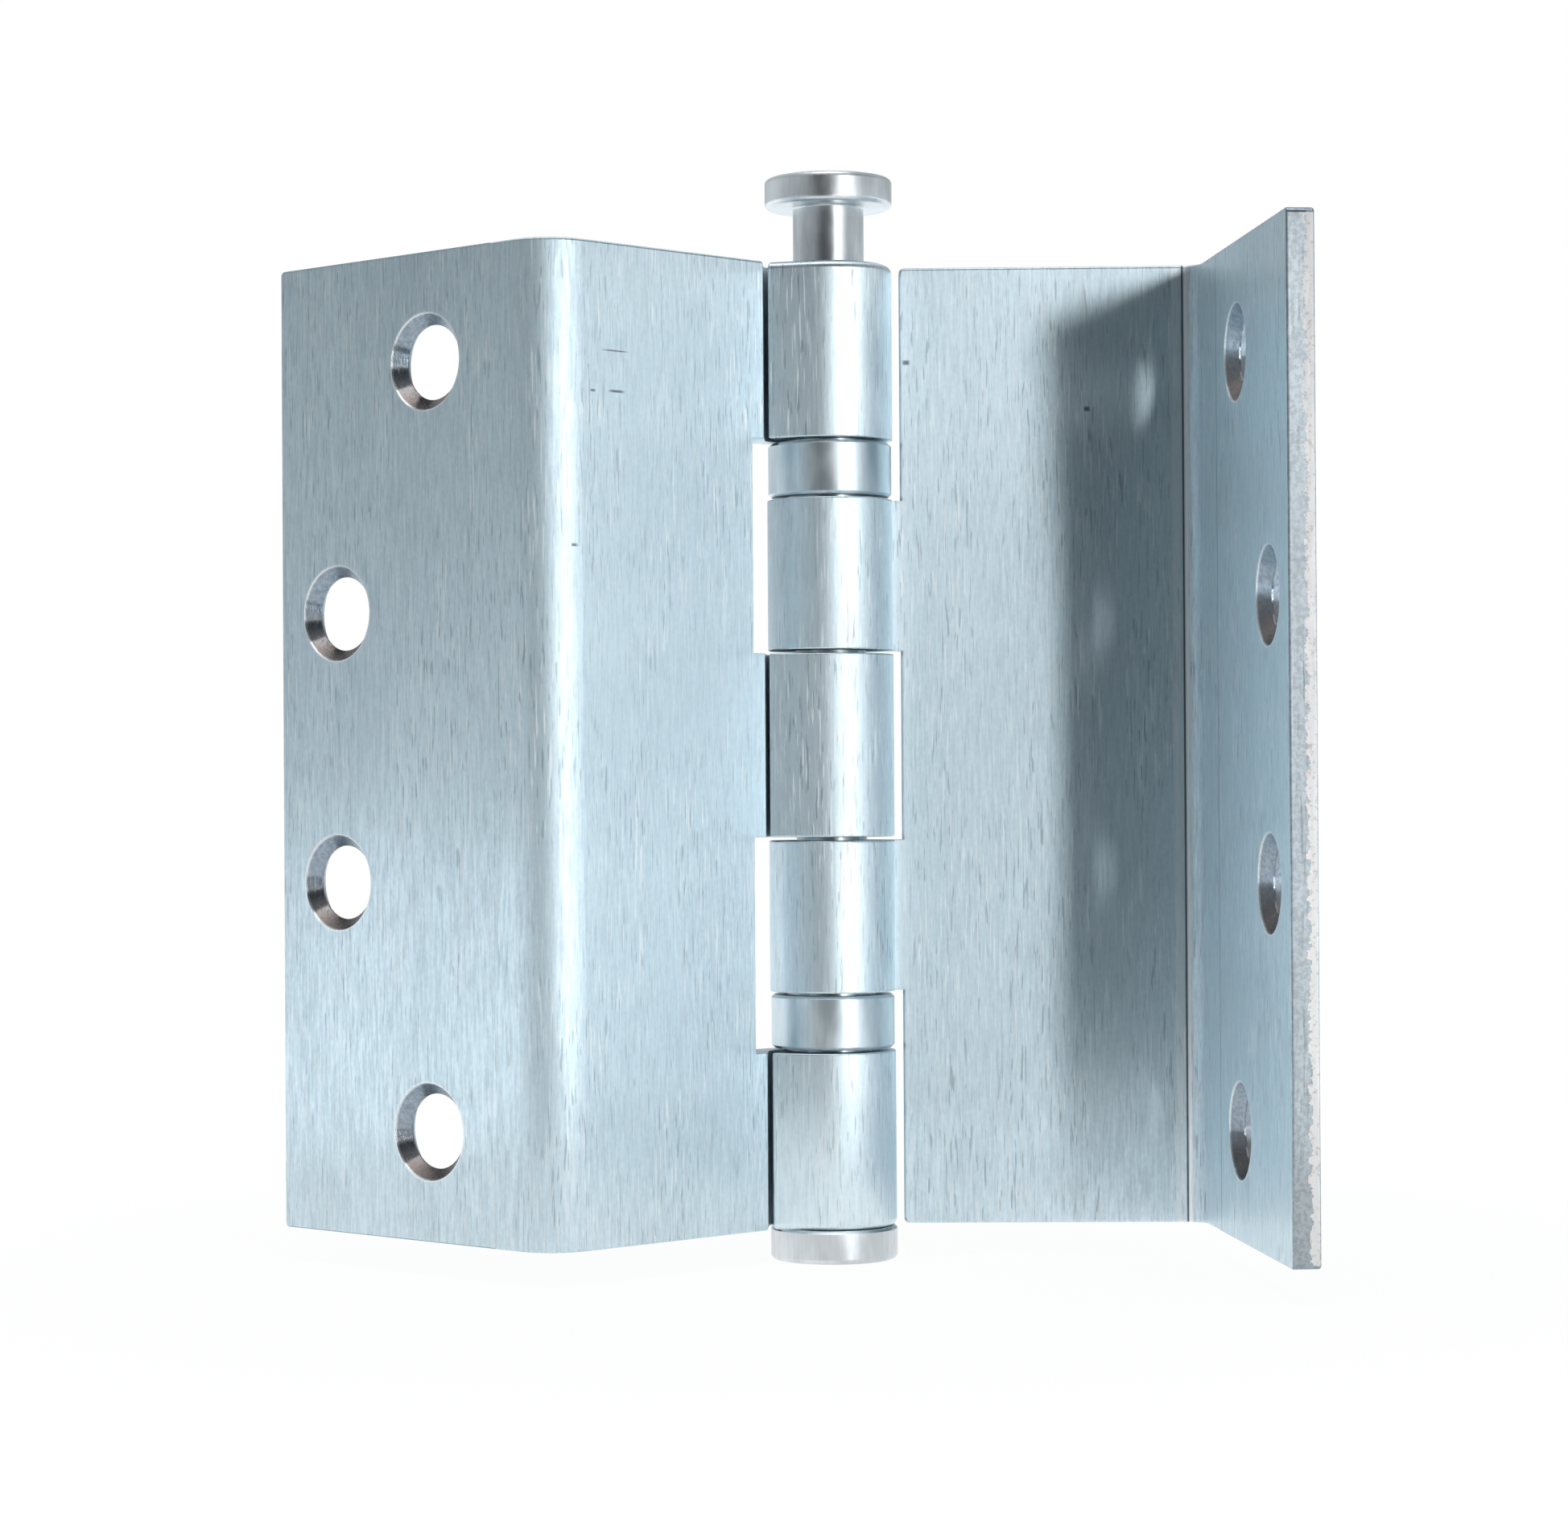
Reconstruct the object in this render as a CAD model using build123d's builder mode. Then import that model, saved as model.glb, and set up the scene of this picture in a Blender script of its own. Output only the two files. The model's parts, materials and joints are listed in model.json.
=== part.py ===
from build123d import *
from math import acos, atan2, cos, degrees, hypot, radians, sin, tan
import os

# Full mortise swing clear hinge with two caged ball bearings, in millimetres.
# +Z runs up the pin. The origin is the middle of the frame leaf's mounting face,
# the face that lies on the door frame, and that face looks along +Y.
# It is drawn as found: opened past a right angle, with the loose pin partly lifted.

# Driving dimensions of the two leaves
leaf_height = 114.3
sheet = 3.2
face_offset = 0.8            # each face that looks inwards when shut stands this far off the pin axis
frame_web = 42.5             # pin axis to the corner where the frame leaf's seen faces would meet
flange_gap = 1.6             # room between the two webs and between the two flanges when shut
flange_width = 44.5
bend_angle = 97.0            # inside angle between web and flange
bend_inner_radius = 2.5
edge_round = 0.3
corner_round = 0.6
opening_angle = 136.4        # between the two webs, as found

# Driving dimensions of the barrel
barrel_diameter = 15.0
centre_knuckle = 21.7
end_knuckle = 20.85
bearing_space = 7.05
plain_gap = 0.45
rim_round = 0.9
frame_swage_start = 9.95     # pin axis to where the frame leaf's web steps back under its curl
frame_swage_slope = 45.0
frame_swage_round = 1.0
frame_seam = 0.78
door_swage_slope = 29.0      # the door leaf's web meets its ring in one straight ramp
door_seam = 0.15
frame_notch = 11.7           # pin axis to the notch edge, clear of the door leaf's knuckles
door_notch = 8.4
knuckle_end_round = 0.2

# Driving dimensions of the screw holes, sunk from both faces so that the hinge suits either hand
screw_clear_diameter = 8.7
screw_land = 0.2             # straight wall left between the two sinks
sink_angle = 82.0
outer_pitch = 88.9
inner_pitch = 31.75
near_column = 24.8           # flange edge to the pair of holes nearest the bend
far_column = 9.6             # flange edge to the pair of holes nearest that edge

# Driving dimensions of the pin and the plug
pin_clearance = 0.08
pin_lift = 7.0
pin_head_overhang = 0.1      # beyond the barrel, all round
pin_head_height = 3.45
pin_crown = 0.15
pin_neck_round = 0.25
pin_tip_chamfer = 1.6
pin_end_gap = 0.5
plug_overhang = 0.05
plug_height = 3.95
plug_stud = 7.0
plug_press_gap = 0.02
button_round = 0.6
small_chamfer = 0.35

# Driving dimensions of the ball bearings
shell_inset = 0.15           # inside the barrel, all round
shell_height = 6.35
shell_wall = 0.6
shell_lip = 1.0
race_bore_gap = 0.2          # beyond the knuckle's bore
race_shell_gap = 0.12
race_lip_gap = 0.2
race_knuckle_gap = 0.05
ball_diameter = 1.588
ball_count = 8
ball_gap = 0.03
groove_depth = 0.35
groove_sides = 8             # the track is ground as flats round the ball
cage_height = 0.6
cage_rim_gap = 0.1
cage_pocket_gap = 0.08

touch = 0.001                # two sizes closer than this are the same

# Worked out from the sizes above
barrel_radius = barrel_diameter / 2
bore_radius = barrel_radius - sheet
pin_radius = bore_radius - pin_clearance
head_radius = barrel_radius + pin_head_overhang
plug_radius = barrel_radius + plug_overhang
shell_radius = barrel_radius - shell_inset
half_height = leaf_height / 2
seen_face = -face_offset
back_face = -face_offset - sheet
turn = 180 - bend_angle
door_web = frame_web + flange_gap
sink_radius = screw_clear_diameter / 2 + (sheet - screw_land) / 2 * tan(radians(sink_angle / 2))
bearing_z = half_height - end_knuckle - bearing_space / 2
door_knuckle = bearing_z - bearing_space / 2 - plain_gap - centre_knuckle / 2
door_knuckle_z = centre_knuckle / 2 + plain_gap + door_knuckle / 2
end_knuckle_z = half_height - end_knuckle / 2

# The frame leaf's flange lies along X, so the pin axis falls at this point
flange_middle_u = frame_web + flange_width / 2 * cos(radians(turn)) - sheet * sin(radians(turn))
flange_middle_w = seen_face - flange_width / 2 * sin(radians(turn)) - sheet * cos(radians(turn))
pin_x = flange_middle_u * cos(radians(turn)) - flange_middle_w * sin(radians(turn))
pin_y = flange_middle_u * sin(radians(turn)) + flange_middle_w * cos(radians(turn))
pin_axis = Axis((pin_x, pin_y, 0), (0, 0, 1))
frame_direction = 180 + turn
door_direction = frame_direction + opening_angle


def leaf_plane(direction, up, z):
    """Section plane of a leaf: X runs out from the pin along the web, Y out of its seen face."""
    along = (cos(radians(direction)), sin(radians(direction)), 0)
    return Plane(origin=(pin_x, pin_y, z), x_dir=along, z_dir=(0, 0, up))


def turned_plane(z):
    """Section plane of a turned piece: X is the radius from the pin axis, Y the height above z."""
    return Plane(origin=(pin_x, pin_y, z), x_dir=(1, 0, 0), z_dir=(0, -1, 0))


def on_circle(radius, angle):
    return radius * cos(radians(angle)), radius * sin(radians(angle))


def sheet_section(section_plane, start, web, side):
    """Web, bend and flange. The flange folds to the web's back (side -1) or to its seen side (+1)."""
    corner_shift = side * sheet * tan(radians(turn / 2))
    seen_corner = (web, seen_face)
    back_corner = (web + corner_shift, back_face)
    end_u = web + flange_width * cos(radians(turn))
    end_w = seen_face + side * flange_width * sin(radians(turn))
    back_end = (end_u + side * sheet * sin(radians(turn)), end_w - sheet * cos(radians(turn)))
    outside, inside = (seen_corner, back_corner) if side < 0 else (back_corner, seen_corner)
    with BuildSketch(section_plane) as section:
        with BuildLine():
            Polyline((start, seen_face), seen_corner, (end_u, end_w),
                     back_end, back_corner, (start, back_face), close=True)
        make_face()
        fillet(section.vertices().sort_by_distance(outside)[0], bend_inner_radius + sheet)
        fillet(section.vertices().sort_by_distance(inside)[0], bend_inner_radius)
    return section.sketch


def open_curl_section(section_plane, web_end):
    """Frame leaf's knuckle: the sheet steps back, runs round the pin and stops short of its web."""
    slope = tan(radians(frame_swage_slope))
    back_start = frame_swage_start + sheet * tan(radians(frame_swage_slope / 2))
    # the curl's last stretch is straight, from a tangent point on the barrel down to the seam
    tip = (frame_swage_start - frame_seam, seen_face)
    leave = degrees(acos(barrel_radius / hypot(*tip)) + atan2(tip[1], tip[0]))
    outer_end, inner_end = on_circle(barrel_radius, leave), on_circle(bore_radius, leave)
    tip_inner = (tip[0] - outer_end[0] + inner_end[0], tip[1] - outer_end[1] + inner_end[1])
    low_outer = (back_start - (barrel_radius + back_face) / slope, -barrel_radius)
    low_inner = (frame_swage_start - (bore_radius + seen_face) / slope, -bore_radius)
    with BuildSketch(section_plane) as section:
        with BuildLine():
            CenterArc((0, 0), barrel_radius, leave, 270 - leave)
            Polyline((0, -barrel_radius), low_outer, (back_start, back_face), (web_end, back_face),
                     (web_end, seen_face), (frame_swage_start, seen_face), low_inner, (0, -bore_radius))
            CenterArc((0, 0), bore_radius, leave, 270 - leave)
            Polyline(inner_end, tip_inner, tip, outer_end)
        make_face()
        for bend in (low_outer, (back_start, back_face)):
            fillet(section.vertices().sort_by_distance(bend)[0], frame_swage_round)
    return section.sketch


def closed_curl_section(section_plane, web_end):
    """Door leaf's knuckle: one ramp runs tangent into a full ring, whose end closes on the ramp."""
    slope = tan(radians(door_swage_slope))
    ramp_angle = door_swage_slope - 90
    low_outer, low_inner = on_circle(barrel_radius, ramp_angle), on_circle(bore_radius, ramp_angle)
    back_start = (low_outer[0] + (back_face - low_outer[1]) / slope, back_face)
    seen_start = (low_inner[0] + (seen_face - low_inner[1]) / slope, seen_face)
    end_angle = degrees(atan2(seen_start[1], seen_start[0]) + door_seam / hypot(*seen_start))
    with BuildSketch(section_plane) as section:
        with BuildLine():
            CenterArc((0, 0), barrel_radius, end_angle, 360 + ramp_angle - end_angle)
            Polyline(low_outer, back_start, (web_end, back_face), (web_end, seen_face), seen_start, low_inner)
            CenterArc((0, 0), bore_radius, end_angle, 360 + ramp_angle - end_angle)
            Line(on_circle(bore_radius, end_angle), on_circle(barrel_radius, end_angle))
        make_face()
    return section.sketch


def screw_places(direction, up, web, side):
    """Where the screws enter a flange: one place on the seen face and one on the back, each with Z outwards."""
    normal = Vector(*on_circle(1, direction + up * (90 + side * turn)), 0)
    section = leaf_plane(direction, up, 0)
    places = []
    for column, pitch in ((near_column, outer_pitch), (far_column, inner_pitch)):
        reach = flange_width - column
        u = web + reach * cos(radians(turn))
        w = seen_face + side * reach * sin(radians(turn))
        for z in (-pitch / 2, pitch / 2):
            entry = section.from_local_coords((u, w, up * z))
            places.append(Plane(origin=entry, x_dir=(0, 0, 1), z_dir=normal))
            places.append(Plane(origin=entry - normal * sheet, x_dir=(0, 0, 1), z_dir=-normal))
    return places


def sheet_corners(leaf):
    """Corner edges across a flat sheet's thickness, from the pin outwards."""
    across = leaf.edges().filter_by(lambda edge: abs(edge.length - sheet) < touch)
    return across.sort_by_distance((pin_x, pin_y, 0))


def level_edges(leaf, z):
    """Edges that lie at a height z above or below the middle."""
    return leaf.edges().filter_by(lambda edge: abs(abs(edge.center().Z) - z) < touch)


def barrel_rims(leaf, z):
    """Outer rims of the knuckles at a height z above or below the middle."""
    rims = level_edges(leaf, z).filter_by(GeomType.CIRCLE)
    return rims.filter_by(lambda edge: abs(edge.radius - barrel_radius) < touch)


os.makedirs("parts", exist_ok=True)

# Frame leaf: one folded sheet with three knuckles, each curl stopping short of the web
with BuildPart() as frame_leaf:
    extrude(sheet_section(leaf_plane(frame_direction, 1, 0), frame_notch, frame_web, -1),
            amount=half_height, both=True)
    fillet(sheet_corners(frame_leaf)[2:], corner_round)
    for z, height in ((-end_knuckle_z, end_knuckle), (0, centre_knuckle), (end_knuckle_z, end_knuckle)):
        level = leaf_plane(frame_direction, 1, z)
        extrude(open_curl_section(level, frame_notch + sheet), amount=height / 2, both=True)
    fillet(barrel_rims(frame_leaf, half_height), rim_round)
    fillet(level_edges(frame_leaf, half_height), edge_round)
    for z in (centre_knuckle / 2, half_height - end_knuckle):
        fillet(barrel_rims(frame_leaf, z), knuckle_end_round)
    with Locations(*screw_places(frame_direction, 1, frame_web, -1)):
        CounterSinkHole(screw_clear_diameter / 2, sink_radius, sheet, sink_angle)
frame_leaf.part.label = "frame_leaf"
export_step(frame_leaf.part, "parts/frame_leaf.step")

# Door leaf: one folded sheet with two full-ring knuckles, its flange folded to the seen side
with BuildPart() as door_leaf:
    extrude(sheet_section(leaf_plane(door_direction, -1, 0), door_notch, door_web, 1),
            amount=half_height, both=True)
    fillet(sheet_corners(door_leaf), corner_round)
    fillet(level_edges(door_leaf, half_height), edge_round)
    for z in (-door_knuckle_z, door_knuckle_z):
        level = leaf_plane(door_direction, -1, z)
        extrude(closed_curl_section(level, door_notch + sheet), amount=door_knuckle / 2, both=True)
    for z in (door_knuckle_z - door_knuckle / 2, door_knuckle_z + door_knuckle / 2):
        fillet(barrel_rims(door_leaf, z), knuckle_end_round)
    with Locations(*screw_places(door_direction, -1, door_web, 1)):
        CounterSinkHole(screw_clear_diameter / 2, sink_radius, sheet, sink_angle)
door_leaf.part.label = "door_leaf"
export_step(door_leaf.part, "parts/door_leaf.step")

# Loose pin with a button head, lifted off its seat on the top knuckle
with BuildPart() as hinge_pin:
    shank = leaf_height - plug_stud - pin_end_gap
    with BuildSketch(turned_plane(half_height + pin_lift)):
        with BuildLine():
            Polyline((0, pin_head_height + pin_crown), (0, -shank), (pin_radius - pin_tip_chamfer, -shank),
                     (pin_radius, pin_tip_chamfer - shank), (pin_radius, 0), (head_radius, 0),
                     (head_radius, pin_head_height), close=True)
        make_face()
    revolve(axis=pin_axis)
    rims = hinge_pin.edges().filter_by(GeomType.CIRCLE)
    fillet(rims.filter_by(lambda edge: edge.radius > barrel_radius), button_round)
    neck = rims.filter_by(lambda edge: edge.radius < barrel_radius).sort_by(Axis.Z)[-1]
    fillet(neck, pin_neck_round)
hinge_pin.part.label = "hinge_pin"
export_step(hinge_pin.part, "parts/hinge_pin.step")

# Button plug pressed into the bottom knuckle
with BuildPart() as bottom_plug:
    with BuildSketch(turned_plane(-half_height)):
        with BuildLine():
            Polyline((0, plug_stud), (0, -plug_height), (plug_radius, -plug_height), (plug_radius, 0),
                     (bore_radius - plug_press_gap, 0), (bore_radius - plug_press_gap, plug_stud),
                     close=True)
        make_face()
    revolve(axis=pin_axis)
    rims = bottom_plug.edges().filter_by(GeomType.CIRCLE).sort_by(Axis.Z)
    fillet(rims[0], button_round)
    chamfer([rims[-1], rims.filter_by(lambda edge: edge.radius > barrel_radius)[-1]], small_chamfer)
bottom_plug.part.label = "bottom_plug"
export_step(bottom_plug.part, "parts/bottom_plug.step")

# Two ball bearings: a crimped shell round two grooved races, with a caged ring of balls between them
race_bore = bore_radius + race_bore_gap
shell_bore = shell_radius - shell_wall
ball_circle = (race_bore + shell_bore - race_shell_gap) / 2
for place, centre in (("upper", bearing_z), ("lower", -bearing_z)):
    with BuildPart() as bearing_shell:
        with BuildSketch(turned_plane(centre)):
            with Locations((shell_bore - shell_lip, 0)):
                Rectangle(shell_wall + shell_lip, shell_height, align=(Align.MIN, Align.CENTER))
                Rectangle(shell_lip, shell_height - 2 * shell_wall, align=(Align.MIN, Align.CENTER),
                          mode=Mode.SUBTRACT)
        revolve(axis=pin_axis)
        rims = bearing_shell.edges().filter_by(GeomType.CIRCLE)
        chamfer(rims.filter_by(lambda edge: edge.radius > shell_bore + shell_wall / 2), small_chamfer)
    bearing_shell.part.label = f"{place}_bearing_shell"
    export_step(bearing_shell.part, f"parts/{place}_bearing_shell.step")

    for end, up in (("top", 1), ("bottom", -1)):
        with BuildPart() as race:
            with BuildSketch(turned_plane(centre)):
                track = ball_diameter / 2 + ball_gap - groove_depth
                lip = shell_height / 2 - shell_wall - race_lip_gap
                hub = shell_bore - shell_lip - race_lip_gap
                with BuildLine():
                    Polyline((race_bore, up * track), (shell_bore - race_shell_gap, up * track),
                             (shell_bore - race_shell_gap, up * lip), (hub, up * lip),
                             (hub, up * (bearing_space / 2 - race_knuckle_gap)),
                             (race_bore, up * (bearing_space / 2 - race_knuckle_gap)), close=True)
                make_face()
                with Locations((ball_circle, 0)):
                    RegularPolygon(ball_diameter / 2 + ball_gap, groove_sides, major_radius=False,
                                   mode=Mode.SUBTRACT)
            revolve(axis=pin_axis)
        race.part.label = f"{place}_bearing_{end}_race"
        export_step(race.part, f"parts/{place}_bearing_{end}_race.step")

    ball_places = PolarLocations(ball_circle, ball_count)
    with BuildPart(Plane(origin=(pin_x, pin_y, centre))) as ball_cage:
        Cylinder(shell_bore - cage_rim_gap, cage_height)
        Cylinder(race_bore, cage_height, mode=Mode.SUBTRACT)
        with ball_places:
            Cylinder(ball_diameter / 2 + cage_pocket_gap, cage_height, mode=Mode.SUBTRACT)
    ball_cage.part.label = f"{place}_ball_cage"
    export_step(ball_cage.part, f"parts/{place}_ball_cage.step")

    for number, location in enumerate(ball_places.local_locations, start=1):
        with BuildPart(Plane(origin=(pin_x, pin_y, centre)) * location) as ball:
            Sphere(ball_diameter / 2)
        ball.part.label = f"{place}_ball_{number:02d}"
        export_step(ball.part, f"parts/{place}_ball_{number:02d}.step")
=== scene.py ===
# %% [markdown]
# # A swing clear hinge in satin stainless steel
# This hinge hangs a door so that, opened to a right angle, the door stands clear of the doorway.
# Each leaf is one strip of stainless sheet, folded once and curled round a loose pin, and two
# small ball bearings carry the door. The solids come ready from CAD, so this lesson is about the
# looks of bare steel: brushed faces, sheared edges, turned heads and a polished pin.
# Metal has hardly any colour of its own. What it shows is the light around it, so the lamps
# matter here as much as the materials do.

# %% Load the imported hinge
import json
import math

import bpy
from mathutils import Matrix, Vector


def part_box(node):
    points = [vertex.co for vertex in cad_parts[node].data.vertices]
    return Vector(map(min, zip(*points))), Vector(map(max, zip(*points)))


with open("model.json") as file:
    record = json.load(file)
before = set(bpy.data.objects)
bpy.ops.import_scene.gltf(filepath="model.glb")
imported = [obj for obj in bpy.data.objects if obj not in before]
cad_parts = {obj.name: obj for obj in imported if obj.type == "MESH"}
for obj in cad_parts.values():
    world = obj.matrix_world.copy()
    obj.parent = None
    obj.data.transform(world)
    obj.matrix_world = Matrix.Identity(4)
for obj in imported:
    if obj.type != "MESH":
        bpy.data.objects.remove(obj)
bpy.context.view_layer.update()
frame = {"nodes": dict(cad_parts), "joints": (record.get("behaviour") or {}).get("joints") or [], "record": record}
steel_nodes = frame["nodes"]
print("nodes loaded:", len(steel_nodes))

# %% [markdown]
# ## Finding our way round the hinge
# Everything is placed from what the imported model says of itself: the pin axis is the place of
# the swing joint, and each leaf's mounting face is given as a point and a direction. Typing such
# places in by hand would also work, but they would be wrong as soon as the model changed.

# %% Pin axis and mounting faces
MM = 0.001
UP = Vector((0, 0, 1))
joint_places = {joint["name"]: joint for joint in frame["joints"]}
pin_axis = Vector(joint_places["door_swing"]["pos_m"])
mounts = {mount["name"]: mount for mount in frame["record"]["mounts"]}
leaf_low, leaf_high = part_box("door_leaf")
leaf_height = leaf_high.z - leaf_low.z
sheet = 3.2 * MM
flange_width = 44.5 * MM
bend_angle = math.radians(97)


def leaf_ways(mount_name, side):
    """A leaf's main directions, worked out from where its flange is screwed on."""
    middle = Vector(mounts[mount_name]["pos_m"])
    out = Vector(mounts[mount_name]["axis"])
    to_edge = side * out.cross(UP)
    web_out = -(Matrix.Rotation(-bend_angle, 3, "Z") @ to_edge)
    return {"middle": middle, "out": out, "to_edge": to_edge, "web_out": web_out,
            "web_face": -side * UP.cross(web_out)}


frame_ways = leaf_ways("frame_face", -1)
door_ways = leaf_ways("door_face", 1)
hole_columns = []
for mount_name in ("frame_screws_outer", "frame_screws_inner"):
    hole_mount = mounts[mount_name]
    column = (Vector(hole_mount["pos_m"]) - frame_ways["middle"]).dot(frame_ways["to_edge"])
    hole_columns.append((column, hole_mount["dims"]["spacing_y_mm"] / 2 * MM))
print("hole columns:", [(round(column / MM, 2), round(half / MM, 2)) for column, half in hole_columns])
print("pin axis:", [round(value / MM, 2) for value in pin_axis])
print("leaf height:", round(leaf_height / MM, 1), "mm")

# %% [markdown]
# ## The camera
# The photograph was taken from nearly level with the middle of the hinge, with a long lens. Six
# values describe the camera: which way round the hinge it stands, how far off, its small offsets
# sideways and in height, its tilt and its roll. A camera can be aimed with a Track To constraint
# too, but an Euler rotation keeps the small tilt and roll exactly as they were worked out.

# %% Camera at the photograph's place
view_turn = math.radians(40.61)
camera_distance = 437.85 * MM
camera_right = -5.68 * MM
camera_height = -5.14 * MM
camera_tilt = math.radians(0.35)
camera_roll = math.radians(-0.35)
lens_length, sensor_width = 84.1, 36
sight = Vector((-math.sin(view_turn), math.cos(view_turn), 0))
to_right = Vector((math.cos(view_turn), math.sin(view_turn), 0))

camera_data = bpy.data.cameras.new("photo_camera")
camera_data.lens = lens_length
camera_data.sensor_width = sensor_width
camera = bpy.data.objects.new("photo_camera", camera_data)
bpy.context.scene.collection.objects.link(camera)
camera.location = pin_axis + camera_right * to_right - camera_distance * sight + camera_height * UP
camera.rotation_euler = (math.radians(90) + camera_tilt, 0, view_turn)
camera.rotation_euler.rotate_axis("Z", camera_roll)
camera_data.clip_start = 0.01
bpy.context.scene.camera = camera
bpy.context.scene.view_settings.view_transform = "Standard"
print("camera stands", round(camera_distance / MM), "mm from the pin")

# %% [markdown]
# ## Small helpers for node trees
# A finish in Blender is a tree of nodes: noises, sums and mixes that are wired into a shader. By
# hand each node takes a few clicks, and in code a few lines. These helpers take up what repeats,
# so that a finish further down reads almost like the list of what it is made of.


# %% Helpers for node trees
def new_finish(name):
    """A new material: its node tree, and its Principled shader."""
    material = bpy.data.materials.new(name)
    material.use_nodes = True
    tree = material.node_tree
    shader = next(node for node in tree.nodes if node.type == "BSDF_PRINCIPLED")
    return material, tree, shader


def add(tree, kind, settings=None, **inputs):
    """Adds a node, sets its options and fills or wires its inputs by name or number."""
    node = tree.nodes.new(kind)
    for key, value in (settings or {}).items():
        setattr(node, key, value)
    for key, value in inputs.items():
        socket = node.inputs[int(key[1:])] if key[0] == "i" and key[1:].isdigit() else node.inputs[key]
        if isinstance(value, bpy.types.NodeSocket):
            tree.links.new(value, socket)
        else:
            socket.default_value = value
    return node


def maths(tree, operation, *values):
    """A Math node, and its result."""
    inputs = {f"i{number}": value for number, value in enumerate(values)}
    return add(tree, "ShaderNodeMath", {"operation": operation}, **inputs).outputs[0]


def remap(tree, value, low, high, to_low, to_high, smooth=False):
    """Maps a value from one range to another, and stops at the ends."""
    style = {"interpolation_type": "SMOOTHSTEP" if smooth else "LINEAR"}
    node = add(tree, "ShaderNodeMapRange", style, i0=value, i1=low, i2=high, i3=to_low, i4=to_high)
    return node.outputs[0]


def blend_colours(tree, share, first, second):
    """Mixes two colours by a share from 0 to 1."""
    node = add(tree, "ShaderNodeMix", {"data_type": "RGBA"})
    for number, value in ((0, share), (6, first), (7, second)):
        if isinstance(value, bpy.types.NodeSocket):
            tree.links.new(value, node.inputs[number])
        else:
            node.inputs[number].default_value = value
    return node.outputs[2]


def grain(tree, scale, stretch=(1, 1, 1), detail=2.0, roughness=0.5):
    """Noise in the part's own coordinates, squeezed or stretched along each axis, from 0 to 1."""
    place = add(tree, "ShaderNodeTexCoord").outputs["Object"]
    stretched = add(tree, "ShaderNodeVectorMath", {"operation": "MULTIPLY"}, i0=place, i1=stretch)
    return add(tree, "ShaderNodeTexNoise", Vector=stretched.outputs[0], Scale=scale, Detail=detail,
               Roughness=roughness).outputs["Fac"]


def colour(red, green, blue):
    """A colour that isn't see-through."""
    return red, green, blue, 1.0


print("helpers ready for finishes, the floor and the world")

# %% [markdown]
# ## The floor
# A white floor keeps the picture plain, and a small disc of it is enough. The camera, and rays
# that bounce off or pass through a surface, see it at full white, while a part of its real
# shading stays in the mix near the hinge, so that the hinge still has a soft shadow to stand on.
# A shadow catcher would do the same, but then the metal would have no floor to reflect.

# %% Floor under the hinge
floor_radius = 0.2
hinge_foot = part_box("bottom_plug")[0].z
floor_mesh = bpy.data.meshes.new("studio_floor")
floor_sides = 64
rim = [math.tau * step / floor_sides for step in range(floor_sides)]
floor_points = [(pin_axis.x + floor_radius * math.cos(turn), pin_axis.y + floor_radius * math.sin(turn),
                 hinge_foot) for turn in rim]
floor_mesh.from_pydata(floor_points, [], [range(floor_sides)])
floor = bpy.data.objects.new("studio_floor", floor_mesh)
bpy.context.scene.collection.objects.link(floor)

floor_white = 0.9
floor_shadow_share = 0.08
shadow_fades_from, shadow_ends_at = 0.4 * floor_radius, 0.9 * floor_radius
seen_white = 1.02
pale_floor, tree, shader = new_finish("pale_floor")
shader.inputs["Base Color"].default_value = colour(floor_white, floor_white, floor_white)
shader.inputs["Roughness"].default_value = 0.9
shader.inputs["Specular IOR Level"].default_value = 0.0
ray = add(tree, "ShaderNodeLightPath")
seen = maths(tree, "MAXIMUM", ray.outputs["Is Camera Ray"],
             maths(tree, "MAXIMUM", ray.outputs["Is Glossy Ray"], ray.outputs["Is Transmission Ray"]))
under_pin = add(tree, "ShaderNodeVectorMath", {"operation": "DISTANCE"},
                i0=add(tree, "ShaderNodeTexCoord").outputs["Object"],
                i1=(pin_axis.x, pin_axis.y, hinge_foot))
shadow_share = remap(tree, under_pin.outputs["Value"], shadow_fades_from, shadow_ends_at,
                     floor_shadow_share, 0)
lit_share = maths(tree, "MULTIPLY", seen, maths(tree, "SUBTRACT", 1, shadow_share))
white = add(tree, "ShaderNodeEmission", Color=colour(1, 1, 1), Strength=seen_white)
mixed = add(tree, "ShaderNodeMixShader", i0=lit_share, i1=shader.outputs[0], i2=white.outputs[0])
output = next(node for node in tree.nodes if node.type == "OUTPUT_MATERIAL")
tree.links.new(mixed.outputs[0], output.inputs["Surface"])
floor_mesh.materials.append(pale_floor)
print("floor at", round(hinge_foot / MM, 2), "mm, radius", round(floor_radius / MM), "mm")

# %% [markdown]
# ## The room that the metal mirrors
# The camera sees plain white behind the hinge, but the steel sees a room. It is dark straight
# behind the camera, where the photographer stands, brighter at the sides and brightest behind
# the hinge, and it is brighter below than above, as over a pale table. A photographed panorama
# would give richer reflections, but three brightnesses and a slope already give the leaves their
# bands of light and dark.

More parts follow.
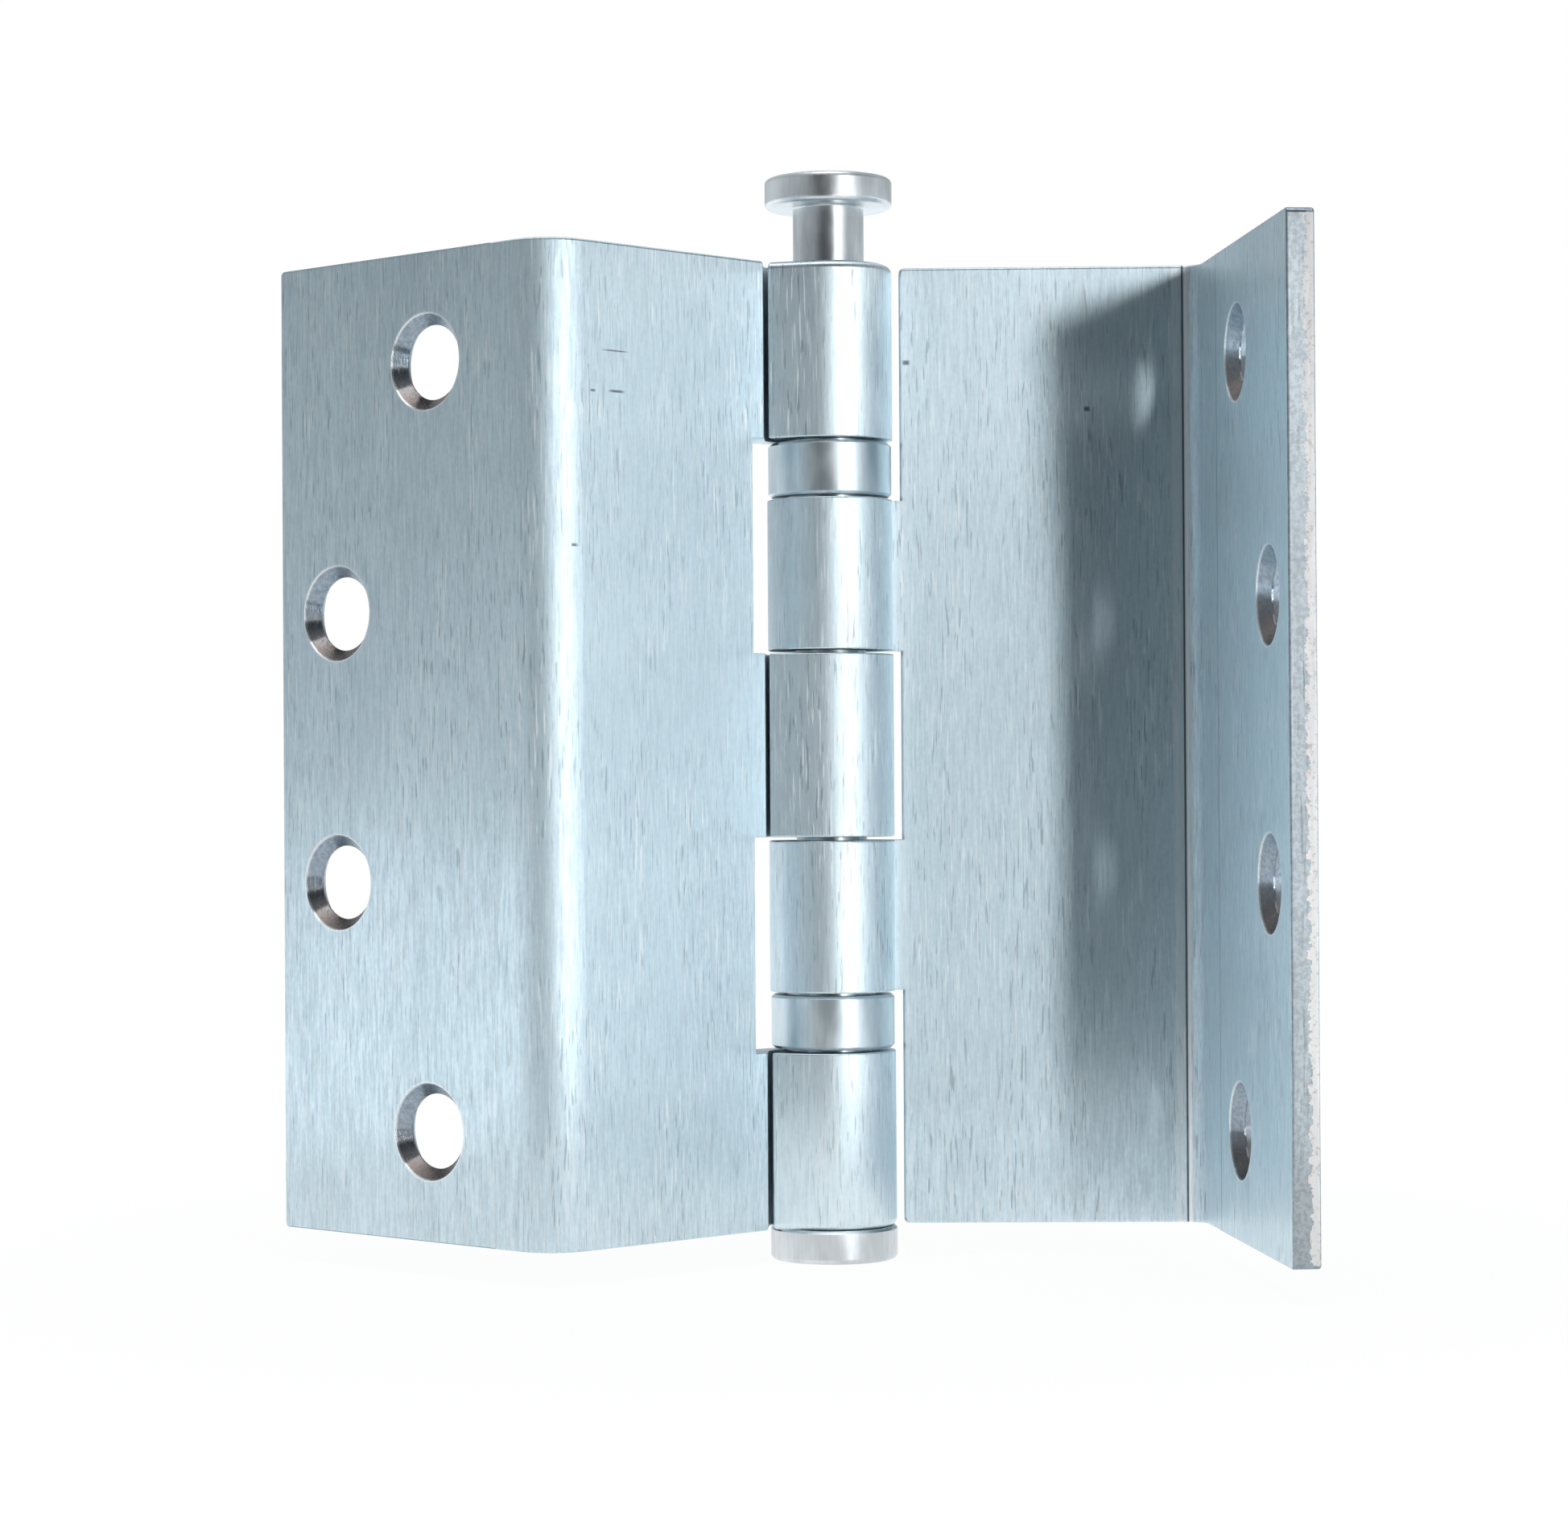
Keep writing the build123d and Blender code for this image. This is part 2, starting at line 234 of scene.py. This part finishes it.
# %% World round the hinge
room_front, room_side, room_back = 0.05, 0.57, 0.90
room_low, room_high = 1.5, 0.65
front_to_side, side_to_back = (-0.98, -0.6), (-0.1, 0.3)
low_to_high = (-0.12, 0.14)
world = bpy.data.worlds.new("white_room")
bpy.context.scene.world = world
world.use_nodes = True
tree = world.node_tree
sky = next(node for node in tree.nodes if node.type == "BACKGROUND")
ray = add(tree, "ShaderNodeLightPath")
plain = add(tree, "ShaderNodeBackground", Color=colour(1, 1, 1), Strength=1.0)
sky.inputs["Color"].default_value = colour(0.92, 0.97, 1.0)
heading = add(tree, "ShaderNodeTexCoord").outputs["Generated"]
backwards = add(tree, "ShaderNodeVectorMath", {"operation": "DOT_PRODUCT"}, i0=heading, i1=sight)
front_part = remap(tree, backwards.outputs["Value"], *front_to_side, room_front, room_side, smooth=True)
back_part = remap(tree, backwards.outputs["Value"], *side_to_back, 0, room_back - room_side, smooth=True)
upwards = add(tree, "ShaderNodeVectorMath", {"operation": "DOT_PRODUCT"}, i0=heading, i1=UP)
lift_part = remap(tree, upwards.outputs["Value"], *low_to_high, room_low, room_high)
strength = maths(tree, "MULTIPLY", maths(tree, "ADD", front_part, back_part), lift_part)
tree.links.new(strength, sky.inputs["Strength"])
seen = ray.outputs["Is Camera Ray"]
mixed = add(tree, "ShaderNodeMixShader", i0=seen, i1=sky.outputs[0], i2=plain.outputs[0])
output = next(node for node in tree.nodes if node.type == "OUTPUT_WORLD")
tree.links.new(mixed.outputs[0], output.inputs["Surface"])
print("room brightness: front", room_front, "side", room_side, "back", room_back)

# %% [markdown]
# ## The lamps
# The brushed sheet is almost a mirror up and down, and spreads what it mirrors sideways. So the
# light spots on the photographed right web are reflections: they tell of small bright windows 27
# to 29 degrees to the right of the camera, one above the hinge's middle, one level with it and
# one below, and of a broad, dimmer one beside them. Weak lamps at both sides and overhead fill
# the rest. One large soft lamp would be plainer to set up, but it would wash these marks away.


# %% Lamps round the hinge
def softbox(name, turn, lift, distance, width, height, power, tint):
    """A rectangular lamp aimed at the pin, turned to the right of the camera and lifted from level."""
    data = bpy.data.lights.new(name, "AREA")
    data.shape = "RECTANGLE"
    data.size = width
    data.size_y = height
    data.energy = power
    data.color = tint
    lamp = bpy.data.objects.new(name, data)
    bpy.context.scene.collection.objects.link(lamp)
    turned, lifted = math.radians(turn), math.radians(lift)
    level = math.sin(turned) * to_right - math.cos(turned) * sight
    lamp.location = pin_axis + distance * (math.cos(lifted) * level + math.sin(lifted) * UP)
    lamp.rotation_euler = (pin_axis - lamp.location).to_track_quat("-Z", "Y").to_euler()


clear, pale_blue, bluish = (1, 1, 1), (0.95, 0.98, 1), (0.93, 0.97, 1)
softbox("window_top", turn=29, lift=10.5, distance=1.0, width=0.08, height=0.11, power=0.75, tint=clear)
softbox("window_gap", turn=27, lift=0, distance=1.0, width=0.06, height=0.24, power=0.9, tint=clear)
softbox("window_foot", turn=29, lift=-12, distance=1.0, width=0.08, height=0.14, power=0.8, tint=clear)
softbox("window", turn=38, lift=0, distance=1.0, width=0.55, height=0.7, power=1.4, tint=clear)
softbox("left_wall", turn=-84, lift=-11, distance=0.45, width=0.5, height=0.14, power=0.13, tint=bluish)
softbox("right_wall", turn=88, lift=0, distance=0.9, width=0.5, height=0.26, power=0.3, tint=pale_blue)
softbox("ceiling", turn=0, lift=75, distance=1.1, width=0.8, height=0.8, power=4.0, tint=clear)
print("lamps:", [light.name for light in bpy.data.lights])

# %% [markdown]
# ## Where on a leaf are we?
# One strip of sheet shows four surfaces: the brushed faces, the curled barrel, the sheared free
# edge and the cut holes. They could be painted on by hand or given separate materials, but the
# solids come as one mesh each. So the material works out the place instead: how far a point is
# from the pin, how deep it lies in a flange's sheet, and how far out towards its free edge.


# %% Places on a leaf
skin = 0.04 * MM
torn_depth, torn_wander = 1.15 * MM, 0.28 * MM
bend_room = 9 * MM
sink_radius, rim_width = 5.65 * MM, 0.22 * MM
barrel_reach, web_start = 8.2 * MM, 10.0 * MM
line_core = 0.3              # share of a line's half width that has its full strength
lower_from, lower_full = 1 * MM, -4 * MM


def over(tree, value, limit):
    """1 where a value is over a limit, and 0 elsewhere."""
    return maths(tree, "GREATER_THAN", value, limit)


def both(tree, first, second):
    """The product of two masks: 1 where both are."""
    return maths(tree, "MULTIPLY", first, second)


def dot_from(tree, place, origin, direction):
    """How far a place lies from an origin along a direction."""
    gap = add(tree, "ShaderNodeVectorMath", {"operation": "SUBTRACT"}, i0=place, i1=origin).outputs[0]
    along = add(tree, "ShaderNodeVectorMath", {"operation": "DOT_PRODUCT"}, i0=gap, i1=direction)
    return along.outputs["Value"]


def barrel_part(tree, place):
    """1 on the curled knuckles, 0 on the flat of the leaves."""
    side_gap = dot_from(tree, place, pin_axis, Vector((1, 0, 0)))
    front_gap = dot_from(tree, place, pin_axis, Vector((0, 1, 0)))
    squares = maths(tree, "ADD", both(tree, side_gap, side_gap), both(tree, front_gap, front_gap))
    return remap(tree, maths(tree, "SQRT", squares), barrel_reach, web_start, 1, 0, smooth=True)


def soft_line(tree, value, middle, half_width):
    """1 where a value is at the middle, fading to 0 at half a line's width from it."""
    off = maths(tree, "ABSOLUTE", maths(tree, "SUBTRACT", value, middle))
    return remap(tree, off, line_core * half_width, half_width, 1, 0, smooth=True)


def flange_parts(tree, place, ways, ragged):
    """Masks for a flange: sheared edge, its torn part, cut holes, their rims, where a highlight is painted, and
    their lower halves.
    """
    depth = maths(tree, "MULTIPLY", dot_from(tree, place, ways["middle"], ways["out"]), -1)
    reach = dot_from(tree, place, ways["middle"], ways["to_edge"])
    height = dot_from(tree, place, Vector((0, 0, 0)), UP)
    level = maths(tree, "ABSOLUTE", height)
    edge = over(tree, reach, flange_width / 2 - skin)
    wander = remap(tree, ragged, 0.4, 0.6, torn_depth - torn_wander, torn_depth + torn_wander)
    torn = both(tree, edge, over(tree, wander, depth))
    in_sheet = both(tree, over(tree, depth, -skin), maths(tree, "LESS_THAN", depth, sheet + skin))
    inside = both(tree, over(tree, depth, skin), maths(tree, "LESS_THAN", depth, sheet - skin))
    clear_of_bend = over(tree, reach, -flange_width / 2 + bend_room)
    on_flat = both(tree, clear_of_bend, over(tree, leaf_height / 2 - skin, level))
    cut = both(tree, both(tree, inside, on_flat), maths(tree, "SUBTRACT", 1, edge))
    rim_highlight_mask, lower = 0.0, 0.0
    for column, half_pitch in hole_columns:
        across = maths(tree, "SUBTRACT", reach, column)
        upright = maths(tree, "SUBTRACT", level, half_pitch)
        squares = maths(tree, "ADD", both(tree, across, across), both(tree, upright, upright))
        gap = maths(tree, "SQRT", squares)
        # A ring on each countersink's rim, where a highlight is painted.
        rim_highlight_mask = maths(tree, "MAXIMUM", rim_highlight_mask, soft_line(tree, gap, sink_radius, rim_width))
        drop = both(tree, upright, maths(tree, "SIGN", height))
        near = maths(tree, "LESS_THAN", gap, 1.2 * sink_radius)
        low = both(tree, remap(tree, drop, lower_from, lower_full, 0, 1), near)
        lower = maths(tree, "MAXIMUM", lower, low)
    return edge, torn, cut, both(tree, rim_highlight_mask, in_sheet), both(tree, lower, cut)


print("torn band:", round(torn_depth / MM, 2), "mm of", round(sheet / MM, 1), "mm")

# %% [markdown]
# ## Grooves and nicks
# The mill drags an abrasive belt up the sheet. That leaves fine vertical grooves, and here also
# many short bright and dark nicks, one to four millimetres long, that gather in columns. Each is
# a noise pattern stretched up the height, and a narrow threshold turns the noise into crisp
# nicks. A groove spreads a reflection sideways but hardly at all upwards, which is what the
# shader's anisotropy does. Its tangent has to lie level on every face, and the cross product of
# the surface normal with the vertical gives exactly that, where a UV map would need an unwrapped
# mesh.


# %% Grooves and nicks
level_face_way = (0.003, 0, 0)
groove_depth = 0.02 * MM


def level_tangent(tree):
    """A direction across the brushing: level, and in the surface. Level faces get the X direction."""
    normal = add(tree, "ShaderNodeNewGeometry").outputs["Normal"]
    across = add(tree, "ShaderNodeVectorMath", {"operation": "CROSS_PRODUCT"}, i0=normal, i1=UP)
    across = across.outputs[0]
    return add(tree, "ShaderNodeVectorMath", {"operation": "ADD"}, i0=across, i1=level_face_way).outputs[0]


def nicks(tree, scale, stretch, low, high):
    """Short upright nicks, gathered in columns: 0 where there are none, 1 in a nick."""
    pattern = grain(tree, scale, (1, 1, stretch), detail=1.5)
    columns = remap(tree, grain(tree, 170, (1, 1, 0.25), detail=2), 0.35, 0.6, 0.25, 1)
    return both(tree, remap(tree, pattern, low, high, 0, 1), columns)


print("grooves:", round(groove_depth / MM, 3), "mm deep")

# %% [markdown]
# ## Painted light and shade beside the bend, and small marks
# The tool that folds the sheet presses a fine bead beside the bend, and its bright and dark sides
# are painted in as a highlight and a line of shade; another line of painted shade runs where the
# flange leaves the bend. Handling leaves a few small dark marks. Bead and marks are far shallower
# than a tenth of a millimetre, so cutting them into the mesh would add many faces and hardly show.
# Each is a soft line or the place where two soft lines cross, laid into the colour.

# %% Painted light and shade by the bend, and marks
# Painted highlight and shade lines beside the door leaf's bend: distance from the pin, half width, light or dark,
# strength.
# White for the painted highlights; the dark colour serves both the painted shade lines and the small marks.
dark_mark_and_shade, painted_highlight_white = colour(0.05, 0.07, 0.10), colour(1.0, 1.0, 1.0)
bend_light_and_shade_lines = ((41.4, 0.8, painted_highlight_white, 0.35), (42.25, 0.17, dark_mark_and_shade, 0.9), (42.6, 0.26, painted_highlight_white, 0.9))
# A line of painted shade where the door flange leaves the bend: place across the flange, half width, strength.
flange_shade_line, shade_line_width, shade_line_strength = -12.4 * MM, 0.2 * MM, 0.5
# Small dark marks on the webs: leaf, distance from the pin, height, half length, half width.
small_marks = ((door_ways, 9.2, 45.8, 0.6, 0.4), (door_ways, 30.8, 40.1, 0.5, 0.4),
               (frame_ways, 32.4, 40.2, 1.5, 0.22), (frame_ways, 35.9, 40.1, 0.5, 0.2),
               (frame_ways, 32.6, 44.8, 2.4, 0.12), (frame_ways, 38.9, 22.5, 1.0, 0.25))
mark_strength = 0.8
web_skin = -1.0 * MM


def bend_light_shade_and_marks(tree, place):
    """Painted highlight and shade lines beside the door leaf's bend, a painted shade line where the flange leaves
    it, and a few small dark marks.
    """
    along_web = dot_from(tree, place, pin_axis, door_ways["web_out"])
    off_web = dot_from(tree, place, pin_axis, door_ways["web_face"])
    reach = dot_from(tree, place, door_ways["middle"], door_ways["to_edge"])
    depth = dot_from(tree, place, door_ways["middle"], door_ways["out"])
    on_web = both(tree, over(tree, off_web, web_skin), over(tree, 0, off_web))
    on_flange = maths(tree, "COMPARE", depth, -sheet, 0.05 * MM)
    # Painted highlight and shade lines along the door web beside the bend.
    found = [(both(tree, soft_line(tree, along_web, along * MM, width * MM), on_web), tint, strength)
             for along, width, tint, strength in bend_light_and_shade_lines]
    # The line of painted shade where the flange leaves the bend.
    crease = soft_line(tree, reach, flange_shade_line, shade_line_width)
    found.append((both(tree, crease, on_flange), dark_mark_and_shade, shade_line_strength))
    for ways, along, height, length, width in small_marks:
        across = dot_from(tree, place, pin_axis + along * MM * ways["web_out"], ways["web_out"])
        upright = dot_from(tree, place, Vector((0, 0, height * MM)), UP)
        face = over(tree, dot_from(tree, place, pin_axis, ways["web_face"]), web_skin)
        spot = both(tree, soft_line(tree, across, 0, length * MM), soft_line(tree, upright, 0, width * MM))
        found.append((both(tree, spot, face), dark_mark_and_shade, mark_strength))
    return found


print("marks on the leaves:", len(bend_light_and_shade_lines) + 1 + len(small_marks))

# %% [markdown]
# ## The leaf's finish, put together
# The leaves are bare stainless sheet with a cool cast. The curled barrel is a little smoother than
# the flats, and its colour is painted lighter to stand in for the brighter light it mirrors. A press
# sheared the free edges: first it cut a smooth band, and then the rest tore off, which left a rough,
# pale one. The screw holes are turned cones, darker and browner in their lower halves, with a
# highlight painted round their rims. One finish holds all four looks, and the masks above say which
# applies.
# Four materials would be easier to read, but they would need the faces sorted by hand.

# %% Brushed sheet finish
leaf_dull, leaf_bright = colour(0.58, 0.71, 0.78), colour(0.70, 0.84, 0.91)
# Painted light: the curled barrel gets a lighter tint that stands in for the brighter light its knuckles mirror.
barrel_painted_light_tint = colour(0.86, 0.93, 0.96)
bright_nick, dark_nick = colour(0.93, 0.98, 1.0), colour(0.20, 0.27, 0.32)
smooth_cut_tints = (colour(0.31, 0.35, 0.38), colour(0.40, 0.45, 0.48))
torn_tints = (colour(0.80, 0.76, 0.72), colour(1.0, 1.0, 1.0))
turned_tints = (colour(0.24, 0.30, 0.36), colour(0.36, 0.43, 0.49))
# The cones' lower halves are darker brown, and a near-white painted highlight lies on the countersinks' rims.
cone_brown, painted_rim_highlight = colour(0.24, 0.19, 0.17), colour(0.95, 0.98, 1.0)


def brushed_sheet(name, dull, bright, roughness, spread):
    """Stainless sheet brushed up its height, with nicks, sheared edges and cut holes."""
    material, tree, shader = new_finish(name)
    place = add(tree, "ShaderNodeTexCoord").outputs["Object"]
    fine = grain(tree, 3600, (1, 1, 0.07), detail=3)
    mottle = grain(tree, 2600, (1, 1, 0.6), detail=3)
    broad = grain(tree, 70, (1, 1, 0.35), detail=2)
    bright_nicks = nicks(tree, 4300, 0.045, 0.61, 0.65)
    dark_nicks = nicks(tree, 3800, 0.07, 0.38, 0.34)
    slow = maths(tree, "ADD", maths(tree, "MULTIPLY", mottle, 0.25), maths(tree, "MULTIPLY", broad, 0.25))
    tone = maths(tree, "ADD", maths(tree, "MULTIPLY", fine, 0.5), slow)
    barrel = barrel_part(tree, place)
    base = blend_colours(tree, remap(tree, tone, 0.40, 0.60, 0, 1), dull, bright)
    # Painted light: the barrel's lighter tint stands in for the light the knuckles mirror; the smoother finish is
    # only in the roughness below.
    base = blend_colours(tree, maths(tree, "MULTIPLY", barrel, 0.3), base, barrel_painted_light_tint)
    base = blend_colours(tree, maths(tree, "MULTIPLY", bright_nicks, 0.75), base, bright_nick)
    base = blend_colours(tree, maths(tree, "MULTIPLY", dark_nicks, 0.5), base, dark_nick)
    rough = remap(tree, tone, 0.38, 0.62, roughness + 0.04, roughness - 0.04)
    rough = maths(tree, "ADD", rough, maths(tree, "MULTIPLY", bright_nicks, 0.12))
    rough = maths(tree, "SUBTRACT", rough, maths(tree, "MULTIPLY", barrel, 0.05))
    ragged = grain(tree, 900, (1, 1, 1), detail=3, roughness=0.6)
    crumbs = grain(tree, 1900, (1, 1, 1), detail=3, roughness=0.6)
    smooth_cut = blend_colours(tree, remap(tree, crumbs, 0.42, 0.58, 0, 1), *smooth_cut_tints)
    torn_metal = blend_colours(tree, remap(tree, crumbs, 0.36, 0.45, 0, 1), *torn_tints)
    turned = blend_colours(tree, remap(tree, crumbs, 0.35, 0.65, 0, 1), *turned_tints)
    for ways in (frame_ways, door_ways):
        edge, torn, cut, rim_highlight_mask, lower = flange_parts(tree, place, ways, ragged)
        cone = blend_colours(tree, maths(tree, "MULTIPLY", lower, 0.85), turned, cone_brown)
        base = blend_colours(tree, edge, base, smooth_cut)
        base = blend_colours(tree, torn, base, torn_metal)
        base = blend_colours(tree, cut, base, cone)
        # Painted highlight: a near-white ring on the rims of the countersinks.
        base = blend_colours(tree, maths(tree, "MULTIPLY", rim_highlight_mask, 0.6), base, painted_rim_highlight)
        rough = maths(tree, "ADD", rough, maths(tree, "MULTIPLY", torn, 0.2))
        rough = maths(tree, "SUBTRACT", rough, maths(tree, "MULTIPLY", cut, 0.14))
    # Lays in the painted highlight and shade lines beside the bend, and the small dark marks.
    for line, tint, share in bend_light_shade_and_marks(tree, place):
        base = blend_colours(tree, maths(tree, "MULTIPLY", line, share), base, tint)
    tree.links.new(base, shader.inputs["Base Color"])
    tree.links.new(rough, shader.inputs["Roughness"])
    shader.inputs["Metallic"].default_value = 1.0
    shader.inputs["Anisotropic"].default_value = spread
    tree.links.new(level_tangent(tree), shader.inputs["Tangent"])
    relief = maths(tree, "SUBTRACT", maths(tree, "ADD", fine, bright_nicks), dark_nicks)
    bump = add(tree, "ShaderNodeBump", Height=relief, Strength=0.25, Distance=groove_depth)
    tree.links.new(bump.outputs[0], shader.inputs["Normal"])
    return material


leaf_steel = brushed_sheet("brushed_leaf_sheet", leaf_dull, leaf_bright, roughness=0.37, spread=0.97)
print("finish made:", leaf_steel.name)

# %% [markdown]
# ## Turned and polished steel
# The pin's head, the plug and the bearing shells were turned or drawn, then polished. They are
# smoother than the leaves and show clearer bands of light and dark. Lathe rings could be drawn
# round them, but here years of being pushed in and out have left faint upright rubs instead.


# %% Turned finish
smear_depth = 0.1 * MM


def turned_steel(name, dull, bright, roughness):
    """Polished steel with faint upright rubbing marks."""
    material, tree, shader = new_finish(name)
    rubs = grain(tree, 2600, (1, 1, 0.12), detail=2)
    smears = grain(tree, 220, (1, 1, 0.5), detail=3)
    tone = maths(tree, "ADD", maths(tree, "MULTIPLY", rubs, 0.22), maths(tree, "MULTIPLY", smears, 0.78))
    base = blend_colours(tree, remap(tree, tone, 0.38, 0.62, 0, 1), dull, bright)
    tree.links.new(base, shader.inputs["Base Color"])
    rough = remap(tree, smears, 0.35, 0.65, roughness - 0.05, roughness + 0.08)
    tree.links.new(rough, shader.inputs["Roughness"])
    shader.inputs["Metallic"].default_value = 1.0
    bump = add(tree, "ShaderNodeBump", Height=smears, Strength=0.15, Distance=smear_depth)
    tree.links.new(bump.outputs[0], shader.inputs["Normal"])
    return material


pin_steel = turned_steel("polished_pin", colour(0.56, 0.60, 0.62), colour(0.78, 0.82, 0.84), 0.35)
shell_steel = turned_steel("drawn_bearing_shell", colour(0.58, 0.67, 0.72), colour(0.80, 0.88, 0.92), 0.38)
race_steel = turned_steel("ground_race", colour(0.40, 0.41, 0.42), colour(0.55, 0.56, 0.57), 0.25)
ball_steel = turned_steel("mirror_ball", colour(0.74, 0.75, 0.77), colour(0.82, 0.83, 0.85), 0.08)
cage_brass = turned_steel("stamped_brass_cage", colour(0.56, 0.40, 0.16), colour(0.72, 0.54, 0.26), 0.32)
slot_finish = {"leaf_steel": leaf_steel, "pin_steel": pin_steel, "shell_steel": shell_steel,
               "race_steel": race_steel, "ball_steel": ball_steel, "cage_brass": cage_brass}
print("finishes:", [finish.name for finish in slot_finish.values()])

# %% [markdown]
# ## Every piece gets its finish
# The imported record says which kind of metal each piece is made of. Going by that list keeps the
# looks and the record in step: a piece that is added later gets its finish without a new line.

# %% Put each finish on its parts
for subpart in frame["record"]["subparts"]:
    node_mesh = steel_nodes[subpart["node"]].data
    node_mesh.materials.clear()
    node_mesh.materials.append(slot_finish[subpart["material_slot"]])
